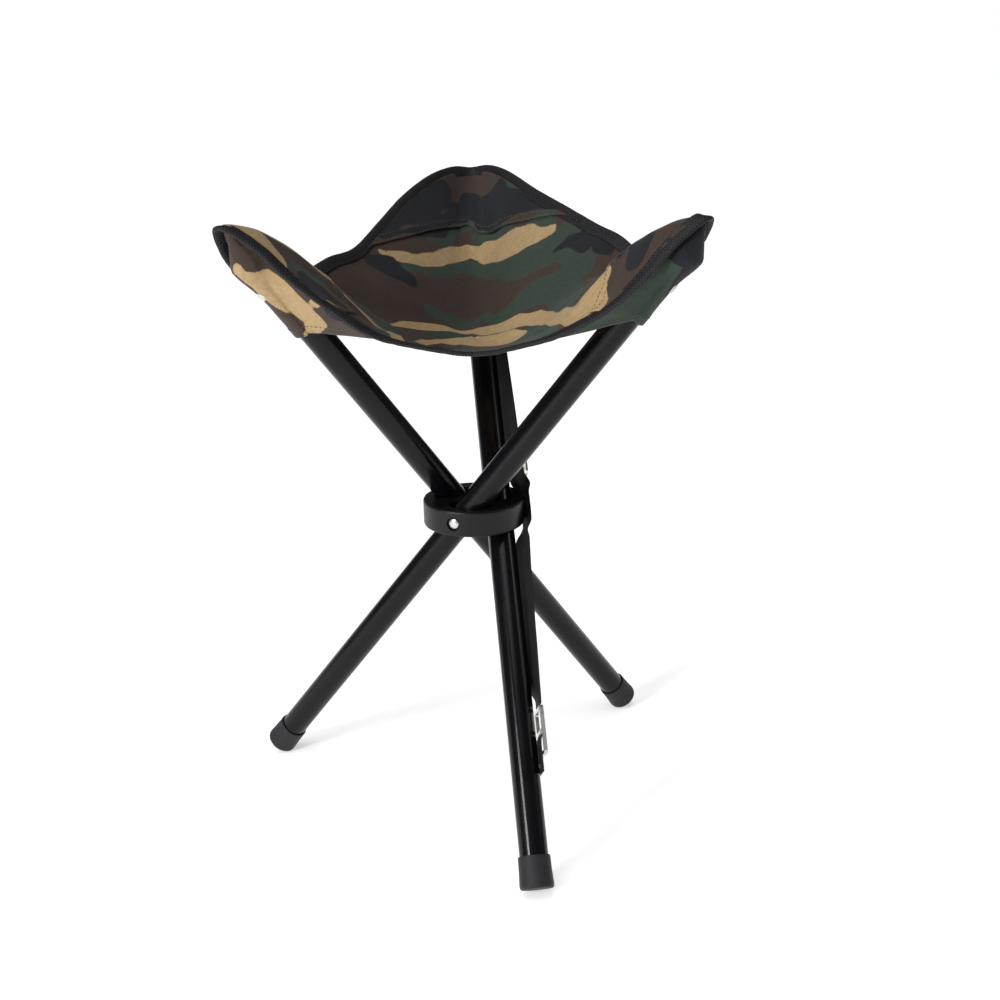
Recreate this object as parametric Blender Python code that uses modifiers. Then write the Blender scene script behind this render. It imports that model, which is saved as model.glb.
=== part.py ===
"""A folding three leg stool: a triangular canvas seat on three tube legs that cross and pivot in a round hub.

The hub's centre is the working origin. Each leg has its own empty on its pivot, whose local Z runs up
the tube and whose local X is the pivot's axis, pointing away from the hub's centre.
"""

import math

import bmesh
import bpy
from mathutils import Matrix, Vector

# Legs, in metres and degrees
LEG_TILT = math.radians(38.4)
PIN_AZIMUTH = {"rear": 6.4, "left": 126.4, "right": 246.4}
AXIS_OFFSET = 0.0205
TUBE_R = 0.011
TUBE_WALL = 0.0012
TUBE_TOP = 0.275
TUBE_FOOT = -0.2987
GAP = 0.0003
ROUND_STEPS = 40

# Hub and pivots
HUB_R = 0.0412
HUB_HEIGHT = 0.021
HUB_EDGE = 0.0016
SLOT_CLEARANCE = 0.0007
SLOT_STEPS = 12
RECESS_R = 0.0058
RECESS_DEPTH = 0.0024
PIN_R = 0.003
PIN_INNER_END = 0.005

# Feet
FOOT_END = -0.303
FOOT_RIM = -0.279
FOOT_RIM_R = 0.0123
FOOT_BASE_R = 0.0131

# Seat
CANVAS = 0.0012
TAPE_WIDTH = 0.0085
TAPE_THICK = 0.003
EDGE_STEPS = 20
FLAT_CORNER = 0.215
PATCH_LENGTH = 0.087
PATCH_LIFT = 0.0016
POCKET_LENGTH = 0.107
POCKET_HEM = 0.205
POCKET_TOP = 0.290
POCKET_DROP = 0.0023
POCKET_RIVET_AT = 0.255
POCKET_R = 0.0126
POCKET_TOP_SPREAD = 0.07
PATCH_SPREAD = 0.235
PATCH_THICK = 0.0008
POCKET_THICK = 0.001
BINDING_END = 0.006
POCKET_RIVET_R = 0.0048

# Carry strap, on the leg of the rear corner
STRAP_WIDTH = 0.025
STRAP_THICK = 0.0016
STRAP_ROUTE = [
    (0.197, 0.0124), (0.178, 0.0124), (0.160, 0.0160), (0.144, 0.0183), (0.100, 0.0200), (0.068, 0.0210),
    (0.033, 0.0220), (0.016, 0.0224), (0.0, 0.0225), (-0.016, 0.0222), (-0.035, 0.0207), (-0.066, 0.0192),
    (-0.100, 0.0182), (-0.140, 0.0170), (-0.1664, 0.0156),
]
TAB_ROUTE = [(-0.1900, 0.0146), (-0.196, 0.0125), (-0.2185, 0.0123)]
STRAP_RIVET_UPPER = 0.187
STRAP_RIVET_LOWER = -0.2128
BUCKLE_TOP = -0.1685
BUCKLE_BAR = -0.1872
BUCKLE_LOW = -0.2055
BUCKLE_OUT = 0.0153
BUCKLE_THICK = 0.0028
PLATE_SIDE = 0.003
SLIDER_AT = 0.033
SLIDER_HALF = 0.010
SLIDER_BAR = 0.003
SLIDER_OUT = 0.0244
SLIDER_THICK = 0.0016
STRAP_RIVET_R = 0.004
STRAP_RIVET_SEAT = 0.0135
RIVET_SHANK_R = 0.0018

# Seat edge in millimetres from the hub's centre: the front, right and left edges, tip to tip
FRONT_EDGE = [
    (-175, -99, 241), (-150, -106, 236), (-124, -108, 211), (-97, -107, 187), (-70, -100, 164), (-38, -92, 154),
    (2, -88, 147), (36, -90, 152), (66, -97, 161), (97, -106, 178), (122, -109, 199), (148, -106, 226),
]
RIGHT_EDGE = [
    (171, -99, 242), (171, -77, 225), (158, -56, 199), (149, -38, 188), (138, -17, 200), (121, 6, 217),
    (103, 31, 225), (81, 61, 236), (58, 98, 247), (36, 140, 259), (20, 174, 262),
]
LEFT_EDGE = [
    (4, 190, 259), (-13, 176, 261), (-33, 146, 256), (-55, 116, 242), (-74, 82, 224), (-92, 45, 208),
    (-110, 12, 205), (-129, -14, 195), (-144, -38, 184), (-158, -59, 193), (-173, -78, 216),
]
# Two inner rings of the sling and its middle; each ring starts at the left corner, four points an edge
OUTER_RING = [
    (-119, -62, 214), (-70, -70, 166), (2, -52, 141), (70, -70, 165), (113, -72, 214), (98, -14, 186),
    (62, 32, 190), (33, 92, 204), (5, 134, 209), (-32, 96, 203), (-68, 22, 172), (-102, -26, 176),
]
INNER_RING = [
    (-62, -36, 161), (-35, -38, 144), (2, -28, 139), (36, -38, 144), (60, -38, 161), (50, -10, 157),
    (34, 16, 156), (20, 44, 162), (4, 70, 165), (-18, 42, 158), (-34, 14, 151), (-52, -12, 151),
]
MIDDLE = (1, 2, 143)
CORNERS = {"left": (0, 210), "right": (1, 330), "rear": (2, 90)}  # place round the edge, azimuth


def clear_scene():
    for obj in list(bpy.data.objects):
        bpy.data.objects.remove(obj)


def new_collection(name):
    coll = bpy.data.collections.new(name)
    bpy.context.scene.collection.children.link(coll)
    return coll


def material(name, colour, roughness, metallic=0.0):
    mat = bpy.data.materials.new(name)
    mat.use_nodes = True
    shader = mat.node_tree.nodes["Principled BSDF"]
    shader.inputs["Base Color"].default_value = (*colour, 1.0)
    shader.inputs["Roughness"].default_value = roughness
    shader.inputs["Metallic"].default_value = metallic
    return mat


def add_object(name, mesh, parent, mat, coll):
    obj = bpy.data.objects.new(name, mesh)
    obj.parent = parent
    if mat:
        mesh.materials.append(mat)
    coll.objects.link(obj)
    return obj


def mesh_from(name, bm):
    mesh = bpy.data.meshes.new(name)
    bm.to_mesh(mesh)
    bm.free()
    return mesh


def smooth(mesh, angle=35):
    mesh.shade_smooth()
    mesh.set_sharp_from_angle(angle=math.radians(angle))


def turned(name, profile, parent, mat, coll, steps=ROUND_STEPS):
    """A turned piece about local Z. The profile's (radius, height) points run down its outer side."""
    bm = bmesh.new()
    verts = [bm.verts.new((r, 0.0, z)) for r, z in profile]
    for a, b in zip(verts, verts[1:]):
        bm.edges.new((a, b))
    if min(r for r, _ in profile) > 1e-6:
        bm.edges.new((verts[-1], verts[0]))
    obj = add_object(name, mesh_from(name, bm), parent, mat, coll)
    screw = obj.modifiers.new("turn", "SCREW")
    screw.steps = steps
    screw.render_steps = steps
    screw.use_merge_vertices = True
    screw.merge_threshold = 0.00001
    screw.use_smooth_shade = True
    return obj


def cylinder_mesh(name, radius, low, high, segments=ROUND_STEPS):
    """A closed cylinder about local Z."""
    bm = bmesh.new()
    bmesh.ops.create_cone(bm, cap_ends=True, segments=segments, radius1=radius, radius2=radius, depth=high - low)
    bmesh.ops.translate(bm, vec=(0, 0, (high + low) / 2), verts=bm.verts)
    return mesh_from(name, bm)


def cutter(name, mesh, parent, coll, turn=None):
    obj = add_object(name, mesh, parent, None, coll)
    if turn:
        obj.matrix_local = turn
    obj.display_type = "WIRE"
    obj.hide_render = True
    return obj


def cut(obj, tool):
    mod = obj.modifiers.new("cut " + tool.name, "BOOLEAN")
    mod.operation = "DIFFERENCE"
    mod.solver = "EXACT"
    mod.object = tool


def azimuth_vector(degrees):
    return Vector((math.cos(math.radians(degrees)), math.sin(math.radians(degrees)), 0.0))


def leg_matrix(corner):
    """The pivot's place and turn in the hub's frame: X outward along the pin, Z up the tube."""
    out = azimuth_vector(PIN_AZIMUTH[corner])
    along = Vector((0, 0, 1)) * math.cos(LEG_TILT) + Vector((0, 0, 1)).cross(out) * math.sin(LEG_TILT)
    turn = Matrix((out, along.cross(out), along)).transposed().to_4x4()
    return Matrix.Translation(out * AXIS_OFFSET) @ turn


def empty(name, parent, matrix, coll):
    obj = bpy.data.objects.new(name, None)
    obj.empty_display_size = 0.03
    obj.parent = parent
    obj.matrix_local = matrix
    coll.objects.link(obj)
    return obj


# Hub, pins, tubes, plugs and feet


def slot_section(height):
    """The oval that a leg sweeps at one height in the hub as it swings from upright to open."""
    half = TUBE_R + SLOT_CLEARANCE
    stretched = half / math.cos(LEG_TILT)
    side = 1 if height >= 0 else -1
    lean = abs(height) * math.tan(LEG_TILT)
    near = min(0.0, lean - stretched + half)
    points = []
    for k in range(SLOT_STEPS + 1):
        turn = math.pi * (k / SLOT_STEPS - 0.5)
        points.append((half * math.sin(turn), lean + stretched * math.cos(turn)))
    for k in range(SLOT_STEPS + 1):
        turn = math.pi * (0.5 - k / SLOT_STEPS)
        points.append((half * math.sin(turn), near - half * math.cos(turn)))
    return [Vector((x, side * y, height)) for x, y in points]


def slot_cutter_mesh(name):
    """A loft through the slot's sections, past both faces of the hub."""
    reach = HUB_HEIGHT / 2 + 0.004
    bm = bmesh.new()
    rings = []
    for part in (-1, -0.6, -0.3, -0.12, 0.0, 0.12, 0.3, 0.6, 1):
        section = slot_section(part * reach)
        if part < 0:
            section = section[SLOT_STEPS + 1:][::-1] + section[:SLOT_STEPS + 1][::-1]
        rings.append([bm.verts.new(p) for p in section])
    for low, high in zip(rings, rings[1:]):
        for a, b in zip(range(len(low)), list(range(1, len(low))) + [0]):
            bm.faces.new((low[a], low[b], high[b], high[a]))
    bm.faces.new(rings[0][::-1])
    bm.faces.new(rings[-1])
    bmesh.ops.triangulate(bm, faces=[f for f in bm.faces if len(f.verts) == 4])
    bmesh.ops.recalc_face_normals(bm, faces=bm.faces)
    return mesh_from(name, bm)


def build_hub(frame, mat, coll, cutters):
    """A moulded disc with a slot for each leg and a recess and bore for each pin."""
    bm = bmesh.new()
    bmesh.ops.create_cone(bm, cap_ends=True, segments=72, radius1=HUB_R, radius2=HUB_R, depth=HUB_HEIGHT)
    mesh = mesh_from("hub", bm)
    smooth(mesh)
    hub = add_object("hub", mesh, frame, mat, coll)
    bevel = hub.modifiers.new("rounded rims", "BEVEL")
    bevel.width = HUB_EDGE
    bevel.segments = 2
    bevel.angle_limit = math.radians(60)
    for corner, azimuth in PIN_AZIMUTH.items():
        pivot = Matrix.Translation(azimuth_vector(azimuth) * AXIS_OFFSET) @ Matrix.Rotation(
            math.radians(azimuth), 4, "Z")
        slot = slot_cutter_mesh(f"slot_{corner}")
        cut(hub, cutter(slot.name, slot, frame, cutters, pivot))
        outward = Matrix.Rotation(math.radians(azimuth), 4, "Z") @ Matrix.Rotation(math.radians(90), 4, "Y")
        recess = cylinder_mesh(f"recess_{corner}", RECESS_R, HUB_R - RECESS_DEPTH, HUB_R + 0.01, 32)
        cut(hub, cutter(recess.name, recess, frame, cutters, outward))
        bore = cylinder_mesh(f"pin_bore_{corner}", PIN_R + GAP, PIN_INNER_END - GAP, HUB_R, 24)
        cut(hub, cutter(bore.name, bore, frame, cutters, outward))
    return hub


def build_pin(corner, frame, mat, coll):
    """The headed pin that a leg turns on, pushed into the hub from its rim."""
    seat = HUB_R - RECESS_DEPTH + GAP
    profile = [(0.0, seat + 0.0018), (0.0022, seat + 0.0016), (0.0038, seat + 0.0010), (0.0044, seat + 0.0004),
               (0.0044, seat), (PIN_R, seat), (PIN_R, PIN_INNER_END + 0.0005),
               (PIN_R - 0.0005, PIN_INNER_END), (0.0, PIN_INNER_END)]
    pin = turned(f"pivot_pin_{corner}", profile, frame, mat, coll, 24)
    pin.matrix_local = Matrix.Rotation(math.radians(PIN_AZIMUTH[corner]), 4, "Z") @ Matrix.Rotation(
        math.radians(90), 4, "Y")
    return pin


def build_tube(corner, leg, mat, coll, cutters):
    inner = TUBE_R - TUBE_WALL
    profile = [(TUBE_R - 0.0003, TUBE_TOP), (TUBE_R, TUBE_TOP - 0.0003), (TUBE_R, TUBE_FOOT + 0.0003),
               (TUBE_R - 0.0003, TUBE_FOOT), (inner, TUBE_FOOT), (inner, TUBE_TOP)]
    tube = turned(f"leg_tube_{corner}", profile, leg, mat, coll, 48)
    hole = cylinder_mesh(f"pin_hole_{corner}", PIN_R + GAP, -0.02, 0.02, 24)
    cut(tube, cutter(hole.name, hole, leg, cutters, Matrix.Rotation(math.radians(90), 4, "Y")))
    return tube


def build_plug(corner, leg, mat, coll):
    """The plastic plug in the tube's upper end."""
    base = TUBE_TOP + GAP
    profile = [(0.0, base + 0.0016), (0.0088, base + 0.0016), (0.0104, base + 0.0006), (0.0104, base),
               (0.0092, base), (0.0088, base - 0.014), (0.0, base - 0.014)]
    return turned(f"top_plug_{corner}", profile, leg, mat, coll, 32)


def build_foot(corner, leg, mat, coll):
    """The rubber cup on the tube's lower end, a little wider at its flat base."""
    bore = TUBE_R + GAP
    floor = TUBE_FOOT - GAP
    profile = [(0.0, floor), (bore, floor), (bore, FOOT_RIM), (FOOT_RIM_R - 0.0004, FOOT_RIM),
               (FOOT_RIM_R, FOOT_RIM - 0.0006), (0.0125, -0.290), (FOOT_BASE_R, FOOT_END + 0.003),
               (FOOT_BASE_R - 0.0003, FOOT_END + 0.0010), (FOOT_BASE_R - 0.0012, FOOT_END), (0.0, FOOT_END)]
    return turned(f"foot_cap_{corner}", profile, leg, mat, coll, 48)


# Seat


def spline(points, at, closed):
    """A point on the Catmull-Rom curve through the points, where at counts points."""
    n = len(points)
    i = math.floor(at)
    f = at - i
    pick = (lambda k: points[k % n]) if closed else (lambda k: points[min(max(k, 0), n - 1)])
    a, b, c, d = (Vector(pick(i + k)) for k in (-1, 0, 1, 2))
    return b + 0.5 * f * (c - a + f * (2 * a - 5 * b + 4 * c - d + f * (3 * b - a - 3 * c + d)))


EDGE_POINTS = FRONT_EDGE + RIGHT_EDGE + LEFT_EDGE
EDGE_STARTS = [0, len(FRONT_EDGE), len(FRONT_EDGE) + len(RIGHT_EDGE), len(EDGE_POINTS)]


def edge_point(place):
    """A point on the seat's edge. place runs 0 to 3: left, right and rear corner at 0, 1 and 2."""
    place = place % 3
    side = int(place)
    first, last = EDGE_STARTS[side], EDGE_STARTS[side + 1]
    return spline(EDGE_POINTS, first + (place - side) * (last - first), True)


def seat_point(place, t):
    """A point on the sling, at the part t of the way from its middle to its edge."""
    p0 = Vector(MIDDLE)
    p1 = spline(INNER_RING, place * 4, True)
    p2 = spline(OUTER_RING, place * 4, True)
    p3 = edge_point(place)
    x = 3 * t
    weights = (-(x - 1) * (x - 2) * (x - 3) / 6, x * (x - 2) * (x - 3) / 2,
               -x * (x - 1) * (x - 3) / 2, x * (x - 1) * (x - 2) / 6)
    return sum((w * p for w, p in zip(weights, (p0, p1, p2, p3))), Vector()) * 0.001


def seat_normal(place, t):
    """The upward normal of the sling."""
    step = 0.01
    along = seat_point(place, t) - seat_point(place, t - step)
    round_it = seat_point(place + step, t) - seat_point(place - step, t)
    return along.cross(round_it).normalized()


def flat_point(place, t):
    """Where a point of the sling is on the flat cut, an equilateral triangle."""
    side = int(place % 3)
    a = azimuth_vector(210 + 120 * side) * FLAT_CORNER
    b = azimuth_vector(330 + 120 * side) * FLAT_CORNER
    return a.lerp(b, place % 3 - side) * t


def inset_t(place, inset):
    """The t of a point that is that far in from the edge."""
    run = (seat_point(place, 1.0) - seat_point(place, 0.9)).length / 0.1
    return 1 - inset / run


def sheet_object(name, rows, thickness, parent, mat, coll, closed=False, centre=None):
    """A sheet of canvas from rows of points in its parent's frame, given its thickness on both sides."""
    bm = bmesh.new()
    grid = [[bm.verts.new(p) for p in row] for row in rows]
    for low, high in zip(grid, grid[1:]):
        pairs = list(zip(range(len(low)), range(1, len(low))))
        if closed:
            pairs.append((len(low) - 1, 0))
        for a, b in pairs:
            bm.faces.new((low[a], low[b], high[b], high[a]))
    if centre is not None:
        middle = bm.verts.new(centre)
        ring = grid[0]
        for a, b in zip(ring, ring[1:] + ring[:1]):
            bm.faces.new((middle, b, a))
    mesh = mesh_from(name, bm)
    mesh.shade_smooth()
    obj = add_object(name, mesh, parent, mat, coll)
    solid = obj.modifiers.new("canvas", "SOLIDIFY")
    solid.thickness = thickness
    solid.offset = 0.0
    solid.use_even_offset = True
    return obj


def build_panel(frame, mat, coll):
    """The sling: one sheet, a little short of the tape that binds its edge."""
    count = EDGE_STEPS * 3
    rings = []
    for part in (0.2, 0.4, 0.56, 0.68, 0.78, 0.86, 0.93, 1.0):
        ring = []
        for k in range(count):
            place = 3 * k / count
            ring.append(seat_point(place, part * inset_t(place, TAPE_WIDTH + 6 * GAP)))
        rings.append(ring)
    return sheet_object("seat_panel", rings, CANVAS, frame, mat, coll, True, seat_point(0, 0))


def build_binding(name, side, frame, mat, coll):
    """The tape over one edge, from tip to tip."""
    places = [BINDING_END] + [k / EDGE_STEPS for k in range(1, EDGE_STEPS)] + [1 - BINDING_END]
    rows = []
    for inset in (TAPE_WIDTH, TAPE_WIDTH / 2, 0.0):
        rows.append([seat_point(side + p, inset_t(side + p, inset)) for p in places])
    return sheet_object(name, rows, TAPE_THICK, frame, mat, coll)


def build_patch(corner, frame, mat, coll):
    """The second layer on top of a corner, down to its straight hem."""
    start, azimuth = CORNERS[corner]
    way = azimuth_vector(azimuth)
    hem = FLAT_CORNER - PATCH_LENGTH
    lift = CANVAS / 2 + PATCH_LIFT
    rows = [[], [], [], [], []]
    for k in range(17):
        place = start + PATCH_SPREAD * (k / 8 - 1)
        edge = inset_t(place, TAPE_WIDTH + 4 * GAP)
        low = hem / flat_point(place, 1.0).dot(way)
        for j, row in enumerate(rows):
            t = low + (edge - low) * j / 4
            row.append(seat_point(place, t) + seat_normal(place, t) * lift)
    return sheet_object(f"corner_patch_{corner}", rows, PATCH_THICK, frame, mat, coll)


def build_pocket(corner, leg, mat, coll):
    """The pocket under a corner: from edge to edge round the tube's end, open at its hem."""
    start, azimuth = CORNERS[corner]
    into = leg_matrix(corner).inverted()
    drop = CANVAS / 2 + POCKET_DROP
    hem = POCKET_LENGTH / math.cos(math.radians(30)) / (FLAT_CORNER * math.sqrt(3))
    rows = []
    for j in range(9):
        spread = POCKET_TOP_SPREAD + (hem - POCKET_TOP_SPREAD) * j / 8
        ends = []
        for place in (start - spread, start + spread):
            t = inset_t(place, TAPE_WIDTH + 6 * GAP)
            ends.append(into @ (seat_point(place, t) - seat_normal(place, t) * drop))
        ends.sort(key=lambda p: p.x)
        level = POCKET_TOP + (POCKET_HEM - POCKET_TOP) * j / 8
        radius = POCKET_R if j else POCKET_R / 2
        bend = [math.radians(a) for a in (200, 225, 250, 270, 290, 315, 340)]
        ring = [Vector((radius * math.cos(a), -radius * math.sin(a), level)) for a in bend]
        rows.append([ends[0], ends[0].lerp(ring[0], 0.5), *ring, ends[1].lerp(ring[-1], 0.5), ends[1]])
    return sheet_object(f"corner_pocket_{corner}", rows, POCKET_THICK, leg, mat, coll)


def rivet(name, place, outward, seat, radius, leg, mat, coll):
    """A domed rivet whose shank goes through the tube's near wall. seat is its head's distance from the axis."""
    tail = TUBE_R - TUBE_WALL - 0.0022
    profile = [(0.0, seat + 0.0016), (radius * 0.5, seat + 0.0014), (radius * 0.85, seat + 0.0008), (radius, seat),
               (RIVET_SHANK_R, seat), (RIVET_SHANK_R, tail), (0.0, tail)]
    obj = turned(name, profile, leg, mat, coll, 20)
    obj.matrix_local = Matrix.Translation((0, 0, place)) @ outward
    return obj


def rivet_hole(name, place, outward, targets, leg, cutters):
    mesh = cylinder_mesh(name, RIVET_SHANK_R + GAP, 0.004, 0.03, 20)
    tool = cutter(name, mesh, leg, cutters, Matrix.Translation((0, 0, place)) @ outward)
    for target in targets:
        cut(target, tool)


# Carry strap


def webbing(name, route, width, leg, mat, coll):
    """A flat strip along a route of (place up the tube, distance out from its axis)."""
    points = [Vector((out, 0.0, z)) for z, out in route]
    count = 4 * (len(points) - 1)
    line = [spline(points, k / 4, False) for k in range(count + 1)]
    bm = bmesh.new()
    left = [bm.verts.new(p + Vector((0, -width / 2, 0))) for p in line]
    right = [bm.verts.new(p + Vector((0, width / 2, 0))) for p in line]
    for k in range(count):
        bm.faces.new((left[k], left[k + 1], right[k + 1], right[k]))
    mesh = mesh_from(name, bm)
    obj = add_object(name, mesh, leg, mat, coll)
    solid = obj.modifiers.new("webbing", "SOLIDIFY")
    solid.thickness = STRAP_THICK
    solid.offset = 0.0
    solid.use_even_offset = True
    return obj


def build_buckle(leg, mat, coll):
    """A flat double loop: a frame with two windows and a bar between them."""
    wire = BUCKLE_THICK
    windows = [(BUCKLE_LOW + wire, BUCKLE_BAR - wire / 2), (BUCKLE_BAR + wire / 2, BUCKLE_TOP - wire)]
    return windowed_plate("strap_buckle", STRAP_WIDTH / 2 + 0.0014, BUCKLE_LOW, BUCKLE_TOP, windows,
                          BUCKLE_OUT, wire, leg, mat, coll)


def build_slider(leg, mat, coll):
    """The three bar slide that takes up the strap's spare length."""
    low, high = SLIDER_AT - SLIDER_HALF, SLIDER_AT + SLIDER_HALF
    windows = [(low + SLIDER_BAR, SLIDER_AT - SLIDER_BAR / 2), (SLIDER_AT + SLIDER_BAR / 2, high - SLIDER_BAR)]
    return windowed_plate("strap_slider", STRAP_WIDTH / 2 + 0.001, low, high, windows,
                          SLIDER_OUT, SLIDER_THICK, leg, mat, coll)


def windowed_plate(name, half, low, high, windows, out, thick, leg, mat, coll):
    """A plate with two windows, made as a flat outline with holes and given its thickness."""
    curve = bpy.data.curves.new(name, "CURVE")
    curve.dimensions = "2D"
    curve.fill_mode = "BOTH"
    curve.extrude = thick / 2
    loops = [(-half - PLATE_SIDE, low, half + PLATE_SIDE, high, 0.0018)]
    loops += [(-half, a, half, b, 0.0008) for a, b in windows]
    for x0, y0, x1, y1, cut_off in loops:
        points = [(x0 + cut_off, y0), (x1 - cut_off, y0), (x1, y0 + cut_off), (x1, y1 - cut_off),
                  (x1 - cut_off, y1), (x0 + cut_off, y1), (x0, y1 - cut_off), (x0, y0 + cut_off)]
        line = curve.splines.new("POLY")
        line.points.add(len(points) - 1)
        for point, (x, y) in zip(line.points, points):
            point.co = (x, y, 0.0, 1.0)
        line.use_cyclic_u = True
    flat = bpy.data.objects.new(name + "_outline", curve)
    bpy.context.scene.collection.objects.link(flat)
    mesh = bpy.data.meshes.new_from_object(flat.evaluated_get(bpy.context.evaluated_depsgraph_get()))
    bpy.data.objects.remove(flat)
    bm = bmesh.new()
    bm.from_mesh(mesh)
    bmesh.ops.remove_doubles(bm, verts=bm.verts, dist=0.00001)
    bmesh.ops.recalc_face_normals(bm, faces=bm.faces)
    bm.to_mesh(mesh)
    bm.free()
    obj = add_object(name, mesh, leg, mat, coll)
    upright = Matrix(((0, 0, 1), (1, 0, 0), (0, 1, 0))).to_4x4()
    obj.matrix_local = Matrix.Translation((out, 0, 0)) @ upright
    return obj


def stand_on_floor(frame, coll):
    """Moves the frame so that the lowest point is at height 0 and the middle of the box is over the origin."""
    bpy.context.view_layer.update()
    graph = bpy.context.evaluated_depsgraph_get()
    points = []
    for obj in coll.objects:
        if obj.type == "MESH":
            shown = obj.evaluated_get(graph)
            points += [shown.matrix_world @ v.co for v in shown.data.vertices]
    low = [min(p[k] for p in points) for k in range(3)]
    high = [max(p[k] for p in points) for k in range(3)]
    frame.location = (-(low[0] + high[0]) / 2, -(low[1] + high[1]) / 2, -low[2])


def main():
    clear_scene()
    parts = new_collection("three_leg_stool")
    cutters = new_collection("cutters")
    black_paint = material("black_paint", (0.006, 0.006, 0.008), 0.3)
    black_plastic = material("black_plastic", (0.018, 0.018, 0.019), 0.45)
    rubber = material("rubber", (0.022, 0.023, 0.026), 0.6)
    steel = material("steel", (0.62, 0.62, 0.60), 0.3, 1.0)
    canvas = material("printed_canvas", (0.06, 0.07, 0.04), 0.8)
    tape = material("binding_tape", (0.012, 0.011, 0.013), 0.75)
    web = material("webbing", (0.012, 0.012, 0.014), 0.8)

    frame = empty("stool_frame", None, Matrix(), parts)
    build_hub(frame, black_plastic, parts, cutters)
    build_panel(frame, canvas, parts)
    for side, name in enumerate(("front", "right", "left")):
        build_binding(f"edge_binding_{name}", side, frame, tape, parts)
    under = Matrix.Rotation(math.radians(-90), 4, "X")
    sideways = Matrix.Rotation(math.radians(90), 4, "Y")
    for corner in PIN_AZIMUTH:
        leg = empty(f"pivot_{corner}", frame, leg_matrix(corner), parts)
        build_pin(corner, frame, steel, parts)
        tube = build_tube(corner, leg, black_paint, parts, cutters)
        build_plug(corner, leg, black_plastic, parts)
        build_foot(corner, leg, rubber, parts)
        build_patch(corner, frame, canvas, parts)
        pocket = build_pocket(corner, leg, canvas, parts)
        rivet_hole(f"pocket_rivet_hole_{corner}", POCKET_RIVET_AT, under, [tube, pocket], leg, cutters)
        seat = POCKET_R + POCKET_THICK / 2 + GAP
        rivet(f"pocket_rivet_{corner}", POCKET_RIVET_AT, under, seat, POCKET_RIVET_R, leg, steel, parts)
        if corner == "rear":
            strap = webbing("carry_strap", STRAP_ROUTE, STRAP_WIDTH, leg, web, parts)
            tab = webbing("strap_tab", TAB_ROUTE, STRAP_WIDTH, leg, web, parts)
            build_buckle(leg, steel, parts)
            build_slider(leg, steel, parts)
            for name, place, piece in (("upper", STRAP_RIVET_UPPER, strap), ("lower", STRAP_RIVET_LOWER, tab)):
                rivet_hole(f"strap_rivet_hole_{name}", place, sideways, [tube, piece], leg, cutters)
                rivet(f"strap_rivet_{name}", place, sideways, STRAP_RIVET_SEAT, STRAP_RIVET_R, leg, steel, parts)
    stand_on_floor(frame, parts)


main()
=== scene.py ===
"""A folding three leg stool with a printed canvas sling seat, built piece by piece around its CAD frame."""

import math

import bmesh
import bpy
import numpy as np
from mathutils import Matrix, Vector, noise


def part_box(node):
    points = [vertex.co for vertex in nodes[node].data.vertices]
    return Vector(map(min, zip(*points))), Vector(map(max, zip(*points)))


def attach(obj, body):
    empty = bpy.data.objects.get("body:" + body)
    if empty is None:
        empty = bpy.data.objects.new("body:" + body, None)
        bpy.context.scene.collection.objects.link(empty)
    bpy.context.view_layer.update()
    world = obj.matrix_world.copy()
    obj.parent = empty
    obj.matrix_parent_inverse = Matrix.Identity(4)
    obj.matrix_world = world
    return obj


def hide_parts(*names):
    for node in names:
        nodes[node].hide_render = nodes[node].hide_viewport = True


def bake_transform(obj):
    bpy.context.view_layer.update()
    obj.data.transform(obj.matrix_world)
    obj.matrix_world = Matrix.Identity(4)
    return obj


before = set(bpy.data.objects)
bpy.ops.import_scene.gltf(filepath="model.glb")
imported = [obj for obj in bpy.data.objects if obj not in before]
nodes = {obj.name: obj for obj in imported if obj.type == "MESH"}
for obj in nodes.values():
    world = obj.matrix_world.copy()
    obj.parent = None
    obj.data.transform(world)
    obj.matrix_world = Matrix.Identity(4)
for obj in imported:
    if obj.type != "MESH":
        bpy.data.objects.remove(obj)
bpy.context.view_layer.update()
bpy.ops.object.select_all(action="DESELECT")


# ---- The studio ----
# The opened stool stands on a plain white floor in front of a white wall of light, seen from a
# little above the seat. One big soft lamp is on its left and a weaker one on its right.

HUB = (Vector(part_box("hub")[0]) + Vector(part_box("hub")[1])) / 2
CAMERA_PLACE = (0.0042, -1.0348, 0.3445)
CAMERA_TURN = 0.0168
CAMERA_DOWN = math.radians(18.05)
CAMERA_LENS = 47.88  # millimetres, on a 36 mm sensor

scene = bpy.context.scene
scene.view_settings.view_transform = "Standard"
bpy.ops.object.camera_add(location=HUB + Vector(CAMERA_PLACE))
camera = bpy.context.object
look = Matrix.Rotation(-CAMERA_TURN, 3, "Z") @ Matrix.Rotation(math.radians(90) - CAMERA_DOWN, 3, "X")
camera.rotation_euler = (look @ Matrix.Rotation(-CAMERA_TURN, 3, "Z")).to_euler()
camera.data.sensor_width = 36
camera.data.lens = CAMERA_LENS
scene.camera = camera

bpy.ops.mesh.primitive_plane_add(size=14, location=(0, 2.5, -0.0004))
floor = bpy.context.object
floor.name = "studio_floor"
floor_paint = bpy.data.materials.new("white_floor")
floor_paint.use_nodes = True
shader = floor_paint.node_tree.nodes["Principled BSDF"]
shader.inputs["Base Color"].default_value = (0.93, 0.93, 0.93, 1)
shader.inputs["Roughness"].default_value = 0.9
shader.inputs["Specular IOR Level"].default_value = 0.1
shader.inputs["Emission Color"].default_value = (1, 1, 1, 1)
shader.inputs["Emission Strength"].default_value = 0.5
floor.data.materials.append(floor_paint)


def soft_lamp(name, place, aim, width, height, power):
    bpy.ops.object.light_add(type="AREA", location=place)
    lamp = bpy.context.object
    lamp.name = name
    lamp.data.shape = "RECTANGLE"
    lamp.data.size = width
    lamp.data.size_y = height
    lamp.data.energy = power
    lamp.rotation_euler = (Vector(aim) - Vector(place)).to_track_quat("-Z", "Y").to_euler()


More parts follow.
